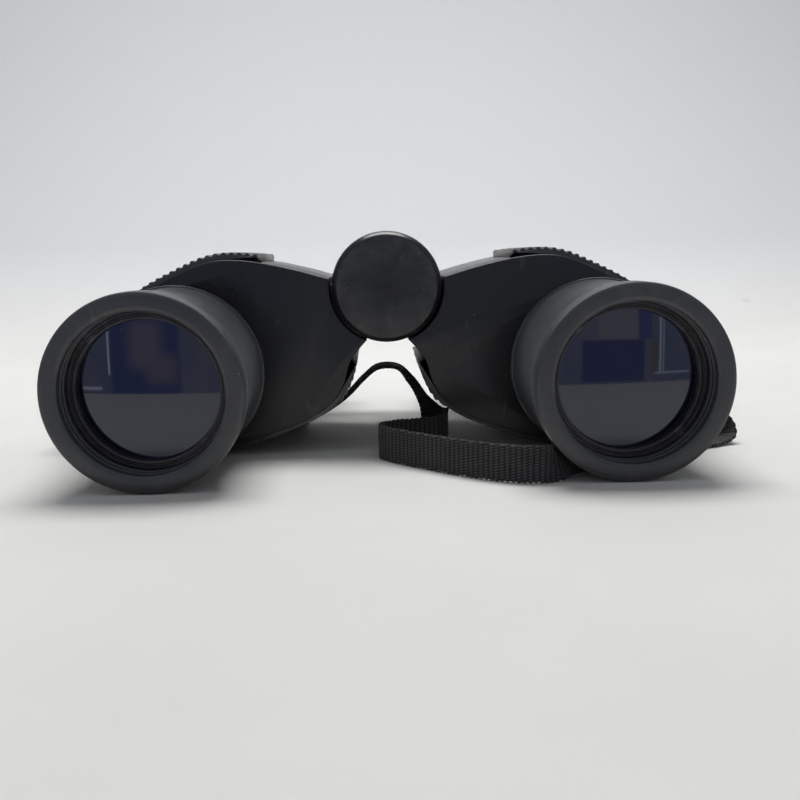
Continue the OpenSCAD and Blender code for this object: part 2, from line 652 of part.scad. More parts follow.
ocular_barrel(LEFT);  // left_ocular_barrel
field_lens(RIGHT);  // right_field_lens
field_lens(LEFT);  // left_field_lens
eye_lens(RIGHT);  // right_eye_lens
eye_lens(LEFT);  // left_eye_lens
ocular_ring(RIGHT);  // right_ocular_ring
ocular_ring(LEFT);  // left_ocular_ring
eyecup(RIGHT);  // right_eyecup
eyecup(LEFT);  // left_eyecup
hub_cap();
hinge_shaft();
hinge_nut();
focus_wheel();
focus_grip();
focus_spindle();
right_bridge_arm();
left_bridge_arm();
bridge_cap();
diopter_ring();
neck_strap();
strap_hank();
hank_tie();
strap_slider(RIGHT);  // right_strap_slider
strap_slider(LEFT);  // left_strap_slider
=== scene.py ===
# The looks of a pair of Porro-prism binoculars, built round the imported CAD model.
# Metres. X runs across the pair, +Y from the objectives to the eyepieces, +Z up, origin on the table.
import json
import math

import bmesh
import bpy
from mathutils import Matrix, Vector

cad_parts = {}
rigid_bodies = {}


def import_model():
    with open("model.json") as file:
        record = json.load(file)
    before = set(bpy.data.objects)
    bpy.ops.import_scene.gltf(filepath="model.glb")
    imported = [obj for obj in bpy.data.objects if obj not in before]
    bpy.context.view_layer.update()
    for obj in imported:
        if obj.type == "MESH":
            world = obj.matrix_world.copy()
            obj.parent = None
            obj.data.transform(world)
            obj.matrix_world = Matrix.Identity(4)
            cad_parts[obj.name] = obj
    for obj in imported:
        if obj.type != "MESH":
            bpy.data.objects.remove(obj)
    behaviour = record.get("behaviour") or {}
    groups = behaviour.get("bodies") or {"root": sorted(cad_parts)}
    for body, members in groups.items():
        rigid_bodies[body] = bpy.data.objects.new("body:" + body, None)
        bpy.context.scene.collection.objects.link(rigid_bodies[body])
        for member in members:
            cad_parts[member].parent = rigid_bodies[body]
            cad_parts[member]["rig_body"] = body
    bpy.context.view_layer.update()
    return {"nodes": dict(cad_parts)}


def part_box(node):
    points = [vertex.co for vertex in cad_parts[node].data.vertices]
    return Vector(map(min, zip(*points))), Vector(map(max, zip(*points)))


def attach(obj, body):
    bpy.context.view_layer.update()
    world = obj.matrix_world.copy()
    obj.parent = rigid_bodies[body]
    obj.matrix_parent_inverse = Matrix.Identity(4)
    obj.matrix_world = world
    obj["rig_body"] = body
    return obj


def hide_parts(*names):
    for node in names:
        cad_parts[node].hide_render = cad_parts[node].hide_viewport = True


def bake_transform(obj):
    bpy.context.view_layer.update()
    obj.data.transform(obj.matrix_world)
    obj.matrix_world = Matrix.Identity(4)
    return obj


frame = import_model()
nodes = frame["nodes"]
MM = 0.001
SIDES = ("right", "left")
# The plane of the objective rims, and the height of the hinge's axis
FRONT_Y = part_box("right_objective_sleeve")[0].y
HINGE_Z = sum(corner.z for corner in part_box("hub_cap")) / 2


# ---- Camera -----------------------------------------------------------------------------------
# Where the camera stands, and which way its right, its top and its back point
CAMERA_PLACE = (-0.003587, -0.282650, 0.059946)
CAMERA_RIGHT = (0.99937, -0.03051, -0.01817)
CAMERA_UP = (0.02307, 0.16911, 0.98533)
CAMERA_BACK = (-0.02699, -0.98513, 0.16971)


def make_camera():
    """A camera in front of the objectives, a little above them and looking slightly down."""
    data = bpy.data.cameras.new("camera")
    data.sensor_width = 36
    data.lens = 38.25
    data.clip_start = 0.01
    data.clip_end = 20
    camera = bpy.data.objects.new("camera", data)
    turn = Matrix((CAMERA_RIGHT, CAMERA_UP, CAMERA_BACK)).transposed().normalized()
    camera.matrix_world = Matrix.Translation(CAMERA_PLACE) @ turn.to_4x4()
    bpy.context.scene.collection.objects.link(camera)
    bpy.context.scene.camera = camera


make_camera()


# ---- Materials --------------------------------------------------------------------------------
class Shader:
    """A node tree with a Principled shader and a few short ways to feed it."""

    def __init__(self, name):
        self.material = bpy.data.materials.new(name)
        self.material.use_nodes = True
        self.tree = self.material.node_tree
        self.main = self.tree.nodes["Principled BSDF"]
        coordinates = self.add("ShaderNodeTexCoord")
        self.place = coordinates.outputs["Object"]

    def add(self, kind, **settings):
        node = self.tree.nodes.new(kind)
        for key, value in settings.items():
            setattr(node, key, value)
        return node

    def link(self, a, b):
        self.tree.links.new(a, b)

    def set(self, **values):
        for key, value in values.items():
            self.main.inputs[key.replace("_", " ")].default_value = value

    def stretched(self, scale):
        mapping = self.add("ShaderNodeMapping")
        mapping.inputs["Scale"].default_value = scale
        self.link(self.place, mapping.inputs["Vector"])
        return mapping.outputs["Vector"]

    def noise(self, scale, detail=4, roughness=0.55, stretch=(1, 1, 1), distortion=0.0):
        node = self.add("ShaderNodeTexNoise")
        node.inputs["Scale"].default_value = scale
        node.inputs["Detail"].default_value = detail
        node.inputs["Roughness"].default_value = roughness
        node.inputs["Distortion"].default_value = distortion
        self.link(self.stretched(stretch), node.inputs["Vector"])
        return node.outputs["Fac"]

    def ramp(self, value, low, high, to_low=0.0, to_high=1.0):
        """Goes evenly from to_low to to_high as the value goes from low to high, and stays there beyond."""
        node = self.add("ShaderNodeMapRange")
        node.inputs["From Min"].default_value = low
        node.inputs["From Max"].default_value = high
        node.inputs["To Min"].default_value = to_low
        node.inputs["To Max"].default_value = to_high
        self.link(value, node.inputs["Value"])
        return node.outputs["Result"]

    def math(self, operation, a, b):
        node = self.add("ShaderNodeMath", operation=operation)
        for k, value in enumerate((a, b)):
            if isinstance(value, (int, float)):
                node.inputs[k].default_value = value
            else:
                self.link(value, node.inputs[k])
        return node.outputs["Value"]

    def blend(self, factor, a, b):
        node = self.add("ShaderNodeMix", data_type="RGBA")
        self.link(factor, node.inputs["Factor"])
        for socket, value in (("A", a), ("B", b)):
            target = [s for s in node.inputs if s.name == socket and s.type == "RGBA"][0]
            if isinstance(value, tuple):
                target.default_value = (*value, 1)
            else:
                self.link(value, target)
        return [s for s in node.outputs if s.type == "RGBA"][0]

    def specks(self, scale, share):
        """Small light grains of dust: 1 in a few of the cells, 0 elsewhere."""
        cells = self.add("ShaderNodeTexVoronoi")
        cells.inputs["Scale"].default_value = scale
        self.link(self.place, cells.inputs["Vector"])
        small = self.ramp(cells.outputs["Distance"], 0.09, 0.05)
        split = self.add("ShaderNodeSeparateColor")
        self.link(cells.outputs["Color"], split.inputs["Color"])
        chosen = self.math("GREATER_THAN", split.outputs["Red"], 1 - share)
        return self.math("MULTIPLY", small, chosen)

    def scratches(self, scale):
        """Fine hairlines in two directions."""
        along = self.noise(scale, 2, 0.5, (1, 0.05, 0.4), 0.6)
        across = self.noise(scale * 0.8, 2, 0.5, (0.07, 1, 1), 0.5)
        return self.math("MAXIMUM", self.ramp(along, 0.70, 0.76), self.ramp(across, 0.71, 0.77))

    def wear(self):
        """Up to 1 on sharp outward edges, in patches."""
        geometry = self.add("ShaderNodeNewGeometry")
        edge = self.ramp(geometry.outputs["Pointiness"], 0.53, 0.62)
        patches = self.ramp(self.noise(260), 0.35, 0.65, 0.35, 1.0)
        return self.math("MULTIPLY", edge, patches)

    def between(self, value, low, high, soft):
        """1 between low and high, fading to 0 over twice the softness."""
        rise = self.ramp(value, low - soft, low + soft)
        fall = self.ramp(value, high + soft, high - soft)
        return self.math("MULTIPLY", rise, fall)

    def bump(self, height, strength, distance):
        node = self.add("ShaderNodeBump")
        node.inputs["Strength"].default_value = strength
        node.inputs["Distance"].default_value = distance
        self.link(height, node.inputs["Height"])
        self.link(node.outputs["Normal"], self.main.inputs["Normal"])

    def colour(self, socket):
        self.link(socket, self.main.inputs["Base Color"])

    def roughness(self, socket):
        self.link(socket, self.main.inputs["Roughness"])


def grey(level):
    return (level, level, level)


DUST_FILM = (0.16, 0.16, 0.155)
DUST_GRAIN = (0.4, 0.4, 0.39)
HAIRLINE = grey(0.3)
WORN_EDGE = grey(0.2)


def black_material(name, dark, light, rough, grain, bump, dust, worn, specular=0.5):
    """A black moulding or rubber: two blacks in soft patches, grain, dust, hairlines and lighter edges."""
    shader = Shader(name)
    patches = shader.ramp(shader.noise(38, 5), 0.3, 0.7)
    body = shader.blend(patches, dark, light)
    film = shader.math("MULTIPLY", shader.ramp(shader.noise(120, 6, 0.7), 0.5, 0.8), dust)
    dusty = shader.blend(film, body, DUST_FILM)
    grains = shader.math("MULTIPLY", shader.specks(420, 0.05), 0.5)
    speckled = shader.blend(grains, dusty, DUST_GRAIN)
    hairlines = shader.math("MULTIPLY", shader.scratches(240), 0.07)
    lined = shader.blend(hairlines, speckled, HAIRLINE)
    edges = shader.math("MULTIPLY", shader.wear(), worn)
    shader.colour(shader.blend(edges, lined, WORN_EDGE))
    shader.roughness(shader.ramp(shader.noise(55, 5), 0.3, 0.7, rough - 0.07, rough + 0.08))
    shader.set(Specular_IOR_Level=specular)
    shader.bump(shader.noise(grain, 3, 0.6), bump, 0.0002)
    return shader


def steel_material(name, colour, rough):
    """Bare steel with fine drawn lines along Y."""
    shader = Shader(name)
    drawn = shader.noise(900, 2, 0.5, (1, 0.03, 1))
    darker = tuple(c * 0.7 for c in colour)
    shader.colour(shader.blend(shader.ramp(drawn, 0.3, 0.7), darker, colour))
    shader.roughness(shader.ramp(drawn, 0.3, 0.7, rough - 0.06, rough + 0.08))
    shader.set(Metallic=1.0)
    shader.bump(drawn, 0.15, 0.0001)
    return shader


def glass_material(name, painted_tube_shade, painted_grazing_sheen, rough, ior):
    """Opaque coated glass. Its near-black body colour is painted shade for the dark tube behind it, with a
    lighter, bluer painted sheen at grazing angles, a little dust and wiping marks.
    """
    shader = Shader(name)
    facing = shader.add("ShaderNodeLayerWeight")
    facing.inputs["Blend"].default_value = 0.35
    # Painted shade and sheen: near-black where it faces the camera, lighter and bluer at grazing angles
    body = shader.blend(facing.outputs["Facing"], painted_tube_shade, painted_grazing_sheen)
    dust = shader.math("MULTIPLY", shader.specks(520, 0.04), 0.35)
    shader.colour(shader.blend(dust, body, (0.35, 0.36, 0.4)))
    smears = shader.ramp(shader.noise(45, 5, 0.6, (1, 1, 0.35), 0.8), 0.45, 0.75, rough, rough + 0.05)
    shader.roughness(smears)
    shader.set(IOR=ior)
    shader.main.inputs["Specular Tint"].default_value = (0.82, 0.86, 1.0, 1)
    shader.bump(shader.noise(30, 2), 0.02, 0.0001)
    return shader


def clear_glass_material(name):
    """Clear glass for the prisms and the inner lenses."""
    shader = Shader(name)
    shader.set(IOR=1.57)
    shader.main.inputs["Transmission Weight"].default_value = 0.9
    tone = shader.ramp(shader.noise(60), 0.3, 0.7)
    shader.colour(shader.blend(tone, (0.78, 0.84, 0.88), (0.86, 0.9, 0.93)))
    shader.roughness(shader.ramp(shader.noise(80, 5), 0.4, 0.8, 0.02, 0.08))
    return shader


RUBBER = black_material(
    "rubber", (0.027, 0.028, 0.029), (0.036, 0.037, 0.038),
    rough=0.38, grain=1500, bump=0.22, dust=0.16, worn=0.35, specular=0.62,
)
RUBBER.set(Sheen_Weight=0.12, Sheen_Roughness=0.35)
RUBBER.main.inputs["Sheen Tint"].default_value = (0.82, 0.93, 1.0, 1)
ARMOUR = black_material(
    "armour_rubber", grey(0.026), grey(0.036),
    rough=0.40, grain=1200, bump=0.25, dust=0.16, worn=0.5, specular=0.62,
)
PLASTIC = black_material(
    "housing_plastic", grey(0.0105), grey(0.0135),
    rough=0.30, grain=2400, bump=0.06, dust=0.02, worn=0.25, specular=0.42,
)
LUG = black_material(
    "lug_plastic", grey(0.013), grey(0.02),
    rough=0.42, grain=1800, bump=0.15, dust=0.08, worn=0.3,
)
SLIDER = black_material(
    "slider_plastic", grey(0.009), grey(0.014),
    rough=0.28, grain=1500, bump=0.08, dust=0.08, worn=0.3,
)
TIE = black_material(
    "tie_rubber", grey(0.02), grey(0.03),
    rough=0.55, grain=1600, bump=0.3, dust=0.2, worn=0.2,
)
ANODISED = black_material(
    "black_metal", (0.010, 0.010, 0.011), (0.016, 0.016, 0.017),
    rough=0.36, grain=2600, bump=0.12, dust=0.08, worn=0.5,
)
# The two colours are painted shade for the dark tube inside and a painted sheen at grazing angles
GLASS = glass_material("coated_glass", (0.004, 0.004, 0.010), (0.010, 0.009, 0.020), rough=0.012, ior=1.74)
INNER_GLASS = clear_glass_material("optical_glass")
SPRING = steel_material("spring_steel", grey(0.55), rough=0.3)
SCREW = steel_material("screw_steel", grey(0.10), rough=0.35)
SHAFT = steel_material("shaft_steel", (0.52, 0.52, 0.53), rough=0.28)

# The webbing's weave, in metres: the distance between ribs along it, and between threads across it
RIB_PITCH = 0.0015
THREAD_PITCH = 0.00078


def webbing_material():
    """Woven tape: slanting threads, painted shade in the grooves between the ribs, and fuzz."""
    shader = Shader("webbing")
    tape = shader.add("ShaderNodeAttribute", attribute_name="webbing_place")
    split = shader.add("ShaderNodeSeparateXYZ")
    shader.link(tape.outputs["Vector"], split.inputs["Vector"])
    across, along = split.outputs["X"], split.outputs["Y"]
    turns = shader.math("ADD", shader.math("MULTIPLY", across, math.tau / THREAD_PITCH),
                        shader.math("MULTIPLY", along, math.pi / RIB_PITCH))
    weave = shader.math("SINE", turns, 0.0)
    tone = shader.ramp(shader.noise(300, 5, 0.7), 0.3, 0.75)
    base = shader.blend(tone, grey(0.010), (0.020, 0.020, 0.021))
    yarn = shader.blend(shader.ramp(weave, -0.4, 1.0, 0.0, 0.9), base, (0.075, 0.075, 0.078))
    # Painted shade: the grooves between the ribs are painted near-black
    ribs = shader.math("COSINE", shader.math("MULTIPLY", along, math.tau / RIB_PITCH), 0.0)
    thread = shader.blend(shader.ramp(ribs, -0.1, 0.8, 0.0, 0.85), yarn, grey(0.004))
    fuzz = shader.ramp(shader.noise(1400, 3, 0.7), 0.62, 0.8, 0.0, 0.35)
    shader.colour(shader.blend(fuzz, thread, grey(0.11)))
    shader.roughness(shader.ramp(shader.noise(200), 0.3, 0.7, 0.7, 0.9))
    shader.set(Sheen_Weight=0.25, Sheen_Roughness=0.5, Specular_IOR_Level=0.3)
    height = shader.math("ADD", weave, shader.math("MULTIPLY", shader.noise(2600, 2), 0.7))
    shader.bump(height, 0.5, 0.00015)
    return shader


WEBBING = webbing_material()


# ---- Mesh helpers -----------------------------------------------------------------------------
def new_piece(name, verts, faces, shader, body, sharp=32):
    """A mesh piece in the row frame, smooth shaded but for its sharp edges."""
    mesh = bpy.data.meshes.new(name)
    mesh.from_pydata([tuple(v) for v in verts], [], faces)
    mesh.validate()
    built = bmesh.new()
    built.from_mesh(mesh)
    bmesh.ops.recalc_face_normals(built, faces=built.faces)
    built.to_mesh(mesh)
    built.free()
    piece = bpy.data.objects.new(name, mesh)
    bpy.context.scene.collection.objects.link(piece)
    finish_piece(piece, shader, body, sharp)
    return piece


def finish_piece(piece, shader, body, sharp=32):
    """Gives a piece its material, its shading and the body that it rides on."""
    piece.data.materials.clear()
    piece.data.materials.append(shader.material)
    piece.data.polygons.foreach_set("use_smooth", [True] * len(piece.data.polygons))
    piece.data.set_sharp_from_angle(angle=math.radians(sharp))
    if body:
        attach(piece, body)


def catmull(a, b, c, d, t):
    """The point a share t of the way from b to c, on a smooth line through a, b, c and d."""
    bend = 2 * a - 5 * b + 4 * c - d
    twist = 3 * b - a - 3 * c + d
    return 0.5 * (2 * b + (c - a) * t + bend * t * t + twist * t ** 3)


def turned(name, profile, axis, shader, body, steps, sharp=32, wave=None):
    """Turns a closed profile of (radius, y from the rims), in mm, round an axis (x, z) that runs along Y.
    wave(angle, radius) may change a point's radius, for grip ribs."""
    verts = []
    faces = []
    count = len(profile)
    for k in range(steps):
        angle = math.tau * k / steps
        for radius, y in profile:
            reach = (wave(angle, radius) if wave else radius) * MM
            x = axis[0] + reach * math.cos(angle)
            z = axis[1] + reach * math.sin(angle)
            verts.append((x, FRONT_Y + y * MM, z))
    for k in range(steps):
        after = (k + 1) % steps
        for i in range(count):
            j = (i + 1) % count
            faces.append((k * count + i, after * count + i, after * count + j, k * count + j))
    return new_piece(name, verts, faces, shader, body, sharp)


def softened(node, shader, width, segments=2):
    """Stands for a CAD node with the same shape, whose sharp edges are rounded as a moulding's are.
    The width of the rounding is in mm."""
    source = nodes[node]
    mesh = source.data.copy()
    built = bmesh.new()
    built.from_mesh(mesh)
    bmesh.ops.remove_doubles(built, verts=built.verts, dist=2e-6)
    bmesh.ops.dissolve_limit(built, angle_limit=math.radians(1.0), verts=built.verts, edges=built.edges)
    built.to_mesh(mesh)
    built.free()
    piece = bpy.data.objects.new(f"{node}_skin", mesh)
    bpy.context.scene.collection.objects.link(piece)
    bevel = piece.modifiers.new("bevel", "BEVEL")
    bevel.width = width * MM
    bevel.segments = segments
    bevel.limit_method = "ANGLE"
    bevel.angle_limit = math.radians(38)
    bevel.use_clamp_overlap = True
    bpy.context.view_layer.update()
    depsgraph = bpy.context.evaluated_depsgraph_get()
    baked = bpy.data.meshes.new_from_object(piece.evaluated_get(depsgraph))
    piece.modifiers.clear()
    piece.data = baked
    if mesh.users == 0:
        bpy.data.meshes.remove(mesh)
    finish_piece(piece, shader, source["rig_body"])
    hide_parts(node)


def repaint(node, shader):
    """Keeps a CAD node's shape and gives it a better material."""
    mesh = nodes[node].data
    mesh.materials.clear()
    mesh.materials.append(shader.material)


def middle(node):
    """A node's centre across and up, which is its axis where it is round."""
    low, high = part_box(node)
    return (low.x + high.x) / 2, (low.z + high.z) / 2


# ---- Neck strap -------------------------------------------------------------------------------
# Each row of a route is a point of the webbing's middle, in metres, and then its width's direction.
FLAT = (0, 1, 0)
UP = (0, 0, 1)
# Up from the right slider, through the lug's slot and down into the slider again
LUG_LOOP = [
    (0.0982, -0.01, 0.0106, FLAT), (0.0982, -0.01, 0.013, FLAT), (0.0983, -0.01, 0.0165, FLAT),
    (0.099, -0.01, 0.021, FLAT), (0.0994, -0.01, 0.026, FLAT), (0.0986, -0.01, 0.0288, FLAT),
    (0.0968, -0.01, 0.0296, FLAT), (0.0948, -0.01, 0.0285, FLAT), (0.094, -0.01, 0.025, FLAT),
    (0.0943, -0.01, 0.02, FLAT), (0.0953, -0.01, 0.0155, FLAT), (0.0955, -0.01, 0.0128, FLAT),
    (0.0959, -0.0102, 0.0106, FLAT),
]
# From the right lug, along the front, and back under the hinge to the hank
FRONT_ROUTE = LUG_LOOP + [
    (0.0974, -0.0112, 0.0086, (0.15, 0.98, 0)),
    (0.1004, -0.0134, 0.008, (0.3, 0.95, 0)), (0.1038, -0.0172, 0.0076, (0.3, 0.95, 0)),
    (0.106, -0.0215, 0.0054, (0.2, 0.98, 0)), (0.1045, -0.0246, 0.0022, (-0.2, 0.98, 0)),
    (0.1, -0.0272, 0.0009, (-0.4, 0.9, 0)), (0.092, -0.0312, 0.0008, (-0.45, 0.9, 0)),
    (0.082, -0.0362, 0.0008, (-0.5, 0.87, 0)), (0.072, -0.0416, 0.0008, (-0.53, 0.85, 0)),
    (0.063, -0.0472, 0.0008, (-0.57, 0.82, 0)), (0.0564, -0.0516, 0.0015, (-0.66, 0.7, 0.1)),
    (0.0508, -0.056, 0.0031, (-0.72, 0.42, 0.46)), (0.0462, -0.0606, 0.0043, (-0.75, 0.1, 0.64)),
    (0.0432, -0.0656, 0.0049, (-0.5, -0.15, 0.85)), (0.0386, -0.0684, 0.0052, UP),
    (0.032, -0.0672, 0.0052, UP), (0.0245, -0.063, 0.0052, UP), (0.017, -0.0572, 0.0052, UP),
    (0.0105, -0.0514, 0.0052, UP), (0.0045, -0.0458, 0.0052, UP), (0, -0.041, 0.0052, UP),
    (-0.0028, -0.036, 0.0052, UP), (-0.0014, -0.0314, 0.0052, UP), (0.0036, -0.0284, 0.0052, UP),
    (0.0096, -0.027, 0.0052, UP), (0.0146, -0.0252, 0.0052, UP), (0.0176, -0.0218, 0.0052, UP),
    (0.0182, -0.0174, 0.0054, (0, 0.1, 0.98)), (0.017, -0.013, 0.0064, (0.1, 0.4, 0.88)),
    (0.0146, -0.009, 0.009, (0.15, 0.85, 0.45)), (0.0114, -0.006, 0.0134, (0.1, 0.96, 0.2)),
    (0.0076, -0.004, 0.019, (0.1, 0.98, 0.1)), (0.0034, -0.003, 0.0231, FLAT),
    (-0.003, -0.0026, 0.0232, FLAT), (-0.008, -0.002, 0.0194, FLAT), (-0.0126, -0.0012, 0.0146, FLAT),
    (-0.0174, 0, 0.0108, FLAT), (-0.0224, 0.0024, 0.0077, (0, 1, 0.05)),
    (-0.0272, 0.006, 0.0054, (0.2, 0.95, 0.1)), (-0.0308, 0.011, 0.0033, (0.45, 0.85, 0)),
    (-0.0328, 0.0174, 0.0017, (0.8, 0.5, 0)), (-0.0336, 0.025, 0.0009, (0.98, 0.1, 0)),
    (-0.0334, 0.036, 0.0008, (1, 0, 0)), (-0.0326, 0.048, 0.0008, (1, 0, 0)),
    (-0.0316, 0.057, 0.0013, (0.98, 0, 0.12)), (-0.0306, 0.0646, 0.0032, (0.85, 0, 0.5)),
    (-0.0296, 0.071, 0.0046, (0.4, 0, 0.9)), (-0.0298, 0.076, 0.0052, UP), (-0.032, 0.0788, 0.0052, UP),
    (-0.036, 0.0796, 0.0052, UP),
]
# From the hank, round the left side, to the left lug, whose loop mirrors the right one's
SIDE_ROUTE = [
    (-0.096, 0.1064, 0.0052, UP), (-0.103, 0.1062, 0.0052, UP), (-0.108, 0.1026, 0.0052, UP),
    (-0.1102, 0.095, 0.0052, UP), (-0.1098, 0.084, 0.0052, UP), (-0.1084, 0.071, 0.0052, UP),
    (-0.1072, 0.057, 0.0052, UP), (-0.1064, 0.044, 0.0052, UP), (-0.106, 0.03, 0.0052, UP),
    (-0.1056, 0.016, 0.0052, UP), (-0.104, 0.0056, 0.0054, (0.1, 0.2, 0.97)),
    (-0.1012, -0.0024, 0.0062, (0.2, 0.6, 0.76)), (-0.0984, -0.008, 0.0078, (0.15, 0.96, 0.2)),
]
SIDE_ROUTE += [(-x, y, z, lean) for x, y, z, lean in reversed(LUG_LOOP)]

# The hank: its number of runs, and what lies between its CAD solid's faces and the webbing's middle
HANK_RUNS = 7
HANK_SKIN = 0.0017
HANK_RIGHT_GAP = 0.0008
HANK_LEFT_GAP = 0.0010
# How far its first and last rows stand from the routes' ends, and the spacing of the rows between
HANK_LEAD = 0.007
HANK_STEP = 0.009
# How far the runs wander from a straight line
HANK_WANDER = 0.0003


def smooth_route(rows, step):
    """Points, width directions and running lengths at even steps along a smooth line through the rows."""
    points = [Vector(row[:3]) for row in rows]
    leans = [Vector(row[3]).normalized() for row in rows]
    parts = 24
    fine = []
    for i in range(len(rows) - 1):
        around = [points[j] for j in (max(i - 1, 0), i, i + 1, min(i + 2, len(rows) - 1))]
        for k in range(parts):
            t = k / parts
            fine.append((catmull(*around, t), leans[i].lerp(leans[i + 1], t)))
    fine.append((points[-1], leans[-1]))
    run = [0.0]
    for before, after in zip(fine, fine[1:]):
        run.append(run[-1] + (after[0] - before[0]).length)
    count = round(run[-1] / step)
    made = []
    i = 0
    for k in range(count + 1):
        want = run[-1] * k / count
        while i < len(fine) - 2 and run[i + 1] < want:
            i += 1
        t = (want - run[i]) / max(run[i + 1] - run[i], 1e-9)
        made.append((fine[i][0].lerp(fine[i + 1][0], t), fine[i][1].lerp(fine[i + 1][1], t), want))
    return made


def hank_rows():
    """The webbing's runs to and fro behind the left half, on edge, inside the hank's CAD solid."""
    low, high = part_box("strap_hank")
    z = (low.z + high.z) / 2
    pitch = (high.y - low.y - 2 * HANK_SKIN) / (HANK_RUNS - 1)
    turn = pitch / 2
    ends = (high.x - HANK_RIGHT_GAP - turn, low.x + HANK_LEFT_GAP + turn)
    rows = []
    for k in range(HANK_RUNS):
        y = low.y + HANK_SKIN + k * pitch
        way = -1 if k % 2 == 0 else 1
        start, stop = ends if way < 0 else ends[::-1]
        if k == 0:
            start = FRONT_ROUTE[-1][0] + way * HANK_LEAD
        if k == HANK_RUNS - 1:
            stop = SIDE_ROUTE[0][0] - way * HANK_LEAD
        parts = round(abs(stop - start) / HANK_STEP)
        for i in range(parts + 1):
            x = start + (stop - start) * i / parts
            wander = HANK_WANDER * math.sin(500 * x + 2 * k) * math.sin(math.pi * i / parts)
            rows.append((x, y + wander, z, UP))
        if k < HANK_RUNS - 1:
            for angle in (45, 90, 135):
                out = math.radians(angle)
                rows.append((stop + way * turn * math.sin(out), y + turn * (1 - math.cos(out)), z, UP))
    return rows


WEB_WIDTH = 0.010
# Across the webbing: share of its half width, and half its thickness on a rib and between ribs, in mm
WEB_ACROSS = [
    (-1.0, 0.22, 0.22), (-0.975, 0.46, 0.46), (-0.92, 0.58, 0.54), (-0.87, 0.56, 0.34), (-0.45, 0.60, 0.33),
    (0.0, 0.60, 0.33), (0.45, 0.60, 0.33), (0.87, 0.56, 0.34), (0.92, 0.58, 0.54), (0.975, 0.46, 0.46),
    (1.0, 0.22, 0.22),
]
# Along it: the share of the way from groove to rib, at each station of one pitch
RIB_SHAPE = (0.0, 0.75, 1.0, 0.75)
WEB_STEP = RIB_PITCH / len(RIB_SHAPE)
# How much the crossing thread's loops stand out at its edges, and how uneven they are
EDGE_LOOP = 0.00036
EDGE_UNEVEN = 0.00008


def edge_loops(u, rib_share, length):
    """How far the webbing's edge stands out, where the crossing thread turns back at each rib."""
    if abs(u) <= 0.9:
        return 0
    turned_back = EDGE_LOOP * (rib_share - 0.6) * math.copysign(1, u)
    return turned_back + EDGE_UNEVEN * math.sin(length * 900 + 3 * u)


def make_strap():
    """The whole neck strap as one ribbed tape: lug loops, free runs and hank."""
    rows = FRONT_ROUTE + hank_rows() + SIDE_ROUTE
    stations = smooth_route(rows, WEB_STEP)
    loop = [(u, rib, gap, 1) for u, rib, gap in WEB_ACROSS]
    loop += [(u, rib, gap, -1) for u, rib, gap in reversed(WEB_ACROSS)]
    verts = []
    places = []
    count = len(loop)
    for i, (point, lean, length) in enumerate(stations):
        before = stations[max(i - 1, 0)][0]
        after = stations[min(i + 1, len(stations) - 1)][0]
        along = (after - before).normalized()
        across = (lean - along * lean.dot(along)).normalized()
        face = along.cross(across)
        rib_share = RIB_SHAPE[i % len(RIB_SHAPE)]
        for u, rib, gap, side in loop:
            half = (gap + (rib - gap) * rib_share) * MM
            reach = u * WEB_WIDTH / 2
            verts.append(point + across * (reach + edge_loops(u, rib_share, length)) + face * half * side)
            places.append((reach, length, side * MM))
    faces = [tuple(range(count))]
    for i in range(len(stations) - 1):
        for k in range(count):
            a = i * count + k
            b = i * count + (k + 1) % count
            faces.append((a, b, b + count, a + count))
    last = (len(stations) - 1) * count
    faces.append(tuple(last + k for k in reversed(range(count))))
    strap = new_piece("strap_webbing", verts, faces, WEBBING, None, sharp=60)
    attribute = strap.data.attributes.new("webbing_place", "FLOAT_VECTOR", "POINT")
    attribute.data.foreach_set("vector", [c for place in places for c in place])
    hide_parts("neck_strap", "strap_hank")
    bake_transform(strap)


for side in SIDES:
    softened(f"{side}_strap_slider", SLIDER, width=0.3)
softened("hank_tie", TIE, width=0.35)
make_strap()


# ---- Objectives -------------------------------------------------------------------------------
# Closed profiles of (radius, y from the rims' front plane), in mm
SLEEVE = [
    (21, 1.2), (21.2, 0.55), (21.7, 0.12), (22.4, 0), (24.5, 0), (25.25, 0.12), (25.8, 0.5), (26, 1.2),
    (26, 6.8), (25.88, 7.6), (25.5, 9), (24.95, 11), (24.55, 13.2), (24.4, 16), (24.4, 26), (24.55, 30),
    (24.85, 33.5), (25.2, 37), (25.4, 39.6), (25.42, 40.3), (25.85, 40.45), (26, 40.7), (26, 41.6),
    (25.85, 41.9), (23.1, 41.9), (23.1, 6.7), (21, 6.7), (21, 5.5), (21.5, 5.3), (21.5, 4.6), (21, 4.4),
    (21, 3.3), (21.5, 3.1), (21.5, 2.4), (21, 2.2),
]
RETAINER = [
    (18.7, 7.5), (18.8, 7.25), (19, 7.2), (19.3, 7.2), (19.38, 7.45), (19.55, 7.45), (19.63, 7.2),
    (19.87, 7.2), (20, 7.3), (20, 8.6), (18.7, 8.6),
]
CELL_FACE = [
    (20.05, 7.2), (20.2, 7), (20.7, 7), (20.8, 7.3), (21.05, 7.3), (21.15, 7), (21.4, 7), (21.5, 7.15),
    (21.5, 19.2), (18.9, 19.2), (18.9, 17.2), (20.05, 17.2),
]


def lens_profile(radius, front, front_curve, back, back_curve):
    """Front and back arcs of a lens, as (radius, y). A curve above 0 bulges to the front."""
    steps = 20

    def face(vertex, curve):
        size = abs(curve)
        points = [radius * k / steps for k in range(steps + 1)]
        return [(r, vertex + math.copysign(size - math.sqrt(size * size - r * r), curve)) for r in points]
    return face(front, front_curve) + list(reversed(face(back, back_curve)))


# Each lens: its radius, then the y and the curve of its front face and of its back face, in mm
LENSES = {
    "crown_lens": (20, 8, 240, 14.6, -80),
    "flint_lens": (20, 14.65, -80, 17, -300),
    "field_lens": (10.5, 103, 40, 110, -28),
    "eye_lens": (10.5, 121, 26, 129, -60),
}
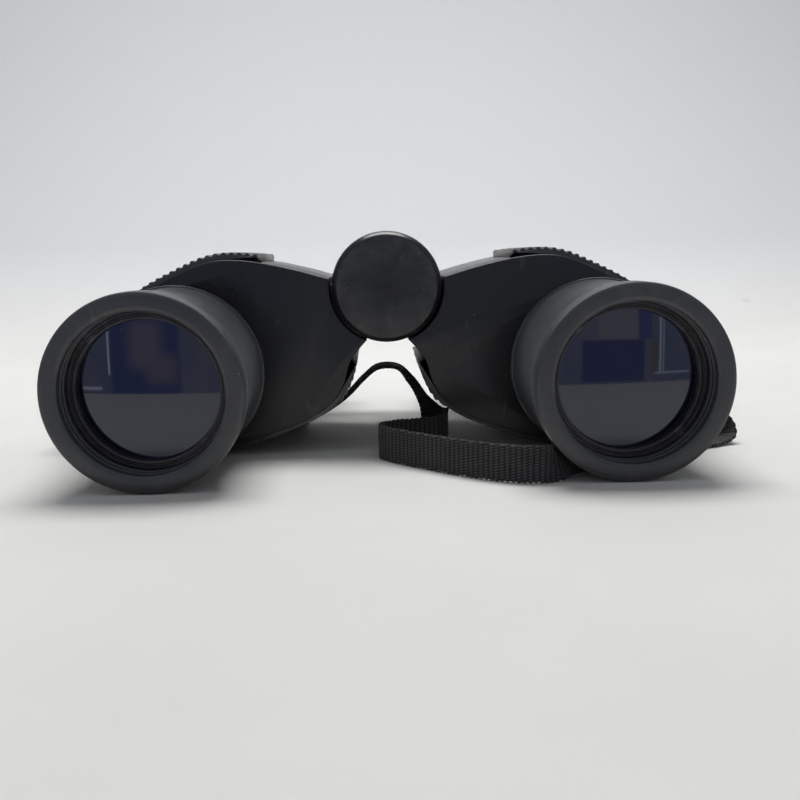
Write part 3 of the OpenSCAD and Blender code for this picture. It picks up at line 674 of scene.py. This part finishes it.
# Each ring round an objective lens: its profile, material, slot and steps round
RINGS = {
    "objective_sleeve": (SLEEVE, RUBBER, "rubber", 192),
    "retaining_ring": (RETAINER, ANODISED, "black_metal", 160),
    "lens_cell": (CELL_FACE, ANODISED, "black_metal", 160),
}
for side in SIDES:
    axis = middle(f"{side}_objective_sleeve")
    eye = middle(f"{side}_eyecup")
    for ring, (profile, shader, slot, steps) in RINGS.items():
        node = f"{side}_{ring}"
        made = turned(f"{node}_skin", profile, axis, shader, f"{side}_half", steps)
        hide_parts(node)
    for lens, shape in LENSES.items():
        node = f"{side}_{lens}"
        centre = axis if lens in ("crown_lens", "flint_lens") else eye
        shader = GLASS if lens in ("crown_lens", "eye_lens") else INNER_GLASS
        slot = "coated_glass" if lens == "crown_lens" else "optical_glass"
        made = turned(f"{node}_polished", lens_profile(*shape), centre, shader,
                      nodes[node]["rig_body"], steps=128)
        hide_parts(node)
    repaint(f"{side}_objective_tube", ANODISED)


# ---- Housings ---------------------------------------------------------------------------------
for side in SIDES:
    softened(f"{side}_front_plate", PLASTIC, width=0.8, segments=3)
    softened(f"{side}_prism_housing", PLASTIC, width=0.3)
    softened(f"{side}_body_armour", ARMOUR, width=0.16)
    softened(f"{side}_rear_cover", PLASTIC, width=0.5, segments=3)
    softened(f"{side}_cover_screws", SCREW, width=0.3, segments=3)
    softened(f"{side}_strap_lug", LUG, width=0.5, segments=3)
    repaint(f"{side}_prism_shelf", ANODISED)
    repaint(f"{side}_prism_clips", SPRING)
    repaint(f"{side}_front_prism", INNER_GLASS)
    repaint(f"{side}_rear_prism", INNER_GLASS)


# ---- Hinge, focusing bridge and eyepieces -----------------------------------------------------
CAP = [
    (0, 38.5), (14.6, 38.5), (14.9, 38.56), (15.15, 38.75), (15.5, 39.15), (15.85, 39.6), (16.12, 40.05),
    (16.27, 40.6), (16.3, 41.2), (16.3, 43.9), (4.2, 43.9), (4.2, 48), (0, 48),
]
EYECUP = [
    (15.25, 125.4), (16.9, 125.4), (17.15, 125.55), (17.2, 125.8), (17.2, 127.3), (17, 127.7),
    (16.4, 128.5), (16.2, 129.8), (16.2, 130.6), (15.95, 130.8), (15.95, 131.3), (16.2, 131.5),
    (16.15, 132.6), (15.9, 132.8), (15.9, 133.3), (16.15, 133.5), (16.2, 134.8), (16, 135),
    (16, 135.5), (16.3, 135.7), (16.5, 138), (16.45, 139.2), (16.2, 139.7), (15.6, 140),
    (13.6, 140), (13, 139.7), (12.65, 139), (12.2, 136), (12, 132.4), (11.2, 131.1), (15.25, 131.1),
]
WHEEL_GRIP = [
    (13.02, 93), (14.3, 93), (14.65, 93.15), (14.8, 93.5), (14.8, 101), (14.65, 101.35),
    (14.3, 101.5), (13.02, 101.5),
]
DIOPTER = [
    (13.55, 116.4), (16.1, 116.4), (16.4, 116.55), (16.5, 116.9), (16.5, 122.7), (16.4, 123.05),
    (16.1, 123.2), (13.55, 123.2),
]


def ribs(count, depth, least):
    """A radius that drops into rounded grooves between count grip ribs, where it is above least."""
    share = 0.55

    def wave(angle, radius):
        if radius < least:
            return radius
        groove = (math.cos(count * angle) - share) / (1 - share)
        return radius - depth * math.sqrt(max(groove, 0))
    return wave


hinge = (0, HINGE_Z)
made = turned("hub_cap_skin", CAP, hinge, PLASTIC, "right_half", steps=192)
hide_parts("hub_cap")
made = turned("focus_grip_skin", WHEEL_GRIP, hinge, RUBBER, "focus_wheel", steps=360,
              sharp=40, wave=ribs(30, 0.7, 14.2))
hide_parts("focus_grip")
dial = middle("diopter_ring")
made = turned("diopter_ring_skin", DIOPTER, dial, LUG, "diopter_ring", steps=432,
              sharp=40, wave=ribs(36, 0.5, 16.0))
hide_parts("diopter_ring")
softened("focus_wheel", PLASTIC, width=0.4, segments=3)
softened("bridge_cap", PLASTIC, width=0.4, segments=3)
softened("hinge_nut", ANODISED, width=0.25)
for side in SIDES:
    softened(f"{side}_bridge_arm", ANODISED, width=0.6, segments=3)
    softened(f"{side}_ocular_ring", ANODISED, width=0.2)
    softened(f"{side}_ocular_barrel", ANODISED, width=0.3)
    softened(f"{side}_eyepiece_tube", ANODISED, width=0.3)
    made = turned(f"{side}_eyecup_skin", EYECUP, middle(f"{side}_eyecup"), RUBBER,
                  nodes[f"{side}_eyecup"]["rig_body"], steps=160)
    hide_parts(f"{side}_eyecup")
repaint("hinge_shaft", SHAFT)
repaint("focus_spindle", SHAFT)


# ---- Table, wall and light --------------------------------------------------------------------
# The backdrop: how far it reaches, where its sweep starts, and the sweep's radius
STAGE_REACH = 3.0
SWEEP_Y = 0.16
SWEEP_RADIUS = 0.34
# The height over which the table's tone turns into the wall's darker, bluer painted shade
WALL_SHADE_FADE = 0.07


def make_backdrop():
    """A pale table that sweeps up into a pale wall, painted darker and bluer up the wall as painted shade.
    """
    steps = 24
    section = [(-STAGE_REACH, 0.0), (SWEEP_Y, 0.0)]
    for k in range(1, steps + 1):
        angle = math.pi / 2 * k / steps
        section.append((SWEEP_Y + SWEEP_RADIUS * math.sin(angle), SWEEP_RADIUS * (1 - math.cos(angle))))
    section.append((SWEEP_Y + SWEEP_RADIUS, STAGE_REACH))
    verts = [(x, y, z) for y, z in section for x in (-STAGE_REACH, STAGE_REACH)]
    faces = [(2 * i, 2 * i + 1, 2 * i + 3, 2 * i + 2) for i in range(len(section) - 1)]
    mesh = bpy.data.meshes.new("backdrop")
    mesh.from_pydata(verts, [], faces)
    mesh.polygons.foreach_set("use_smooth", [True] * len(faces))
    backdrop = bpy.data.objects.new("backdrop", mesh)
    bpy.context.scene.collection.objects.link(backdrop)
    shader = Shader("pale_card")
    mottle = shader.ramp(shader.noise(9, 6, 0.6), 0.3, 0.7)
    table = shader.blend(mottle, (0.70, 0.69, 0.665), (0.74, 0.735, 0.715))
    split = shader.add("ShaderNodeSeparateXYZ")
    shader.link(shader.place, split.inputs["Vector"])
    # Painted shade: the sweep turns darker and bluer with height
    height = shader.ramp(split.outputs["Z"], 0.0, WALL_SHADE_FADE)
    card = shader.blend(height, table, (0.585, 0.592, 0.605))
    specks = shader.math("MULTIPLY", shader.specks(16, 0.06), 0.35)
    shader.colour(shader.blend(specks, card, (0.35, 0.33, 0.30)))
    shader.set(Roughness=0.75, Specular_IOR_Level=0.2)
    mesh.materials.append(shader.material)


# The card that stands for the room in front: its distance, half its width, and its height
ROOM_Y = -0.212
ROOM_HALF = 0.9
ROOM_TOP = 0.9
# Furniture and window light on it: x from, x to, z from, z to, softness, colour
ROOM_PATCHES = [
    (-0.132, -0.078, 0.0005, 0.070, 0.0015, (0.14, 0.18, 0.40)),
    (-0.117, -0.092, 0.020, 0.056, 0.006, (0.40, 0.36, 0.45)),
    (-0.104, -0.080, 0.008, 0.030, 0.005, (0.35, 0.32, 0.42)),
    (-0.1345, -0.1330, 0.015, 0.054, 0.0004, (1.3, 1.4, 1.6)),
    (-0.160, -0.141, 0.003, 0.0055, 0.0006, (1.0, 1.05, 1.2)),
    (0.084, 0.116, 0.035, 0.070, 0.0015, (0.46, 0.44, 0.50)),
    (0.0716, 0.121, 0.002, 0.034, 0.0008, (0.15, 0.16, 0.34)),
    (0.116, 0.127, 0.035, 0.070, 0.001, (0.18, 0.21, 0.46)),
    (0.127, 0.132, 0.008, 0.032, 0.001, (0.36, 0.27, 0.27)),
    (0.1335, 0.1350, 0.008, 0.060, 0.0004, (1.1, 1.2, 1.3)),
    (0.1365, 0.1375, 0.008, 0.060, 0.0004, (0.9, 1.0, 1.2)),
    (0.130, 0.160, 0.0065, 0.008, 0.0005, (0.9, 0.95, 1.1)),
]


def make_room_card():
    """What the lenses mirror: the dim bluish room in front. Only glossy rays see it."""
    corners = ((-ROOM_HALF, 0), (ROOM_HALF, 0), (ROOM_HALF, ROOM_TOP), (-ROOM_HALF, ROOM_TOP))
    mesh = bpy.data.meshes.new("room_card")
    mesh.from_pydata([(x, ROOM_Y, z) for x, z in corners], [], [(0, 1, 2, 3)])
    card = bpy.data.objects.new("room_card", mesh)
    bpy.context.scene.collection.objects.link(card)
    card.visible_camera = False
    card.visible_diffuse = False
    card.visible_shadow = False
    card.visible_transmission = False
    shader = Shader("room")
    split = shader.add("ShaderNodeSeparateXYZ")
    shader.link(shader.place, split.inputs["Vector"])
    tone = shader.ramp(shader.noise(45, 3, 0.5, (1, 1, 0.6)), 0.35, 0.65)
    room = shader.blend(tone, (0.27, 0.31, 0.44), (0.36, 0.37, 0.46))
    for x_low, x_high, z_low, z_high, soft, colour in ROOM_PATCHES:
        wide = shader.between(split.outputs["X"], x_low, x_high, soft)
        tall = shader.between(split.outputs["Z"], z_low, z_high, soft)
        room = shader.blend(shader.math("MULTIPLY", wide, tall), room, colour)
    shader.link(room, shader.main.inputs["Emission Color"])
    shader.set(Emission_Strength=1.0, Roughness=1.0, Specular_IOR_Level=0.0)
    shader.main.inputs["Base Color"].default_value = (0, 0, 0, 1)
    mesh.materials.append(shader.material)


# Each lamp: place, the point it faces, width and depth, watts, colour
LAMPS = {
    "overhead": ((0, 0.20, 0.95), (0, 0.15, 0), (0.7, 0.30), 8.6, (1.0, 1.0, 1.0)),
    "wall_wash": ((0, -0.30, 1.2), (0, 0.5, 0.15), (1.4, 0.3), 0.9, (0.98, 0.99, 1.0)),
    "left_fill": ((-0.95, -0.25, 0.5), (0, 0, 0.03), (0.7, 0.7), 0.4, (0.97, 0.98, 1.0)),
    "right_fill": ((0.95, -0.2, 0.55), (0, 0, 0.03), (0.7, 0.7), 0.4, (0.97, 0.98, 1.0)),
}


def add_lamp(name, place, target, size, power, colour):
    data = bpy.data.lights.new(name, "AREA")
    data.shape = "RECTANGLE"
    data.size, data.size_y = size
    data.energy = power
    data.color = colour
    lamp = bpy.data.objects.new(name, data)
    lamp.location = place
    lamp.rotation_euler = (Vector(target) - Vector(place)).to_track_quat("-Z", "Y").to_euler()
    bpy.context.scene.collection.objects.link(lamp)


def make_sky():
    """A faint even light from all round."""
    world = bpy.data.worlds.new("world")
    world.use_nodes = True
    background = world.node_tree.nodes["Background"]
    background.inputs["Color"].default_value = (0.86, 0.89, 0.95, 1)
    background.inputs["Strength"].default_value = 0.20
    bpy.context.scene.world = world


make_backdrop()
make_room_card()
for lamp_name, settings in LAMPS.items():
    add_lamp(lamp_name, *settings)
make_sky()
bpy.context.scene.view_settings.view_transform = "Standard"

bpy.context.view_layer.update()
